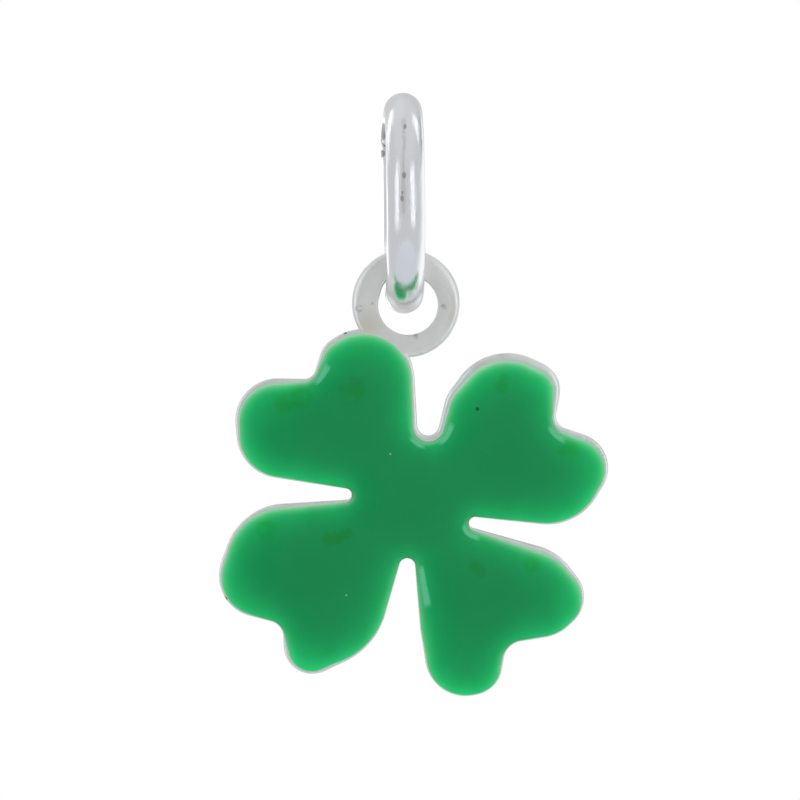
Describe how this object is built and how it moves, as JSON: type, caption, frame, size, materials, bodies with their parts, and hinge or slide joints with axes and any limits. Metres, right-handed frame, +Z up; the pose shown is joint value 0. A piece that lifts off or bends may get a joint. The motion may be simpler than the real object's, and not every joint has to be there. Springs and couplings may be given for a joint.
{
  "type": "four leaf clover pendant",
  "caption": "Flat metal clover pendant with a domed glossy enamel face, hung by its cast eyelet from a round wire jump ring.",
  "frame": {"origin": "inside top of the jump ring, where the chain bears", "axes": "+X to the right as seen from the front, along the chain's run; +Y to the back; +Z up"},
  "size_m": [0.0117, 0.0066, 0.0181],
  "materials": {
    "plate_silver": "polished",
    "green_enamel": "gloss",
    "ring_silver": "polished"
  },
  "bodies": {
    "ring": {"jump_ring": "ring_silver"},
    "clover": {"clover_plate": "plate_silver", "enamel": "green_enamel"}
  },
  "joints": [
    {"name": "clover_swing", "type": "hinge", "parent": "ring", "child": "clover", "pos_m": [0, 0, -0.00493], "axis": [0, 1, 0], "range_deg": [-110, 110]}
  ]
}
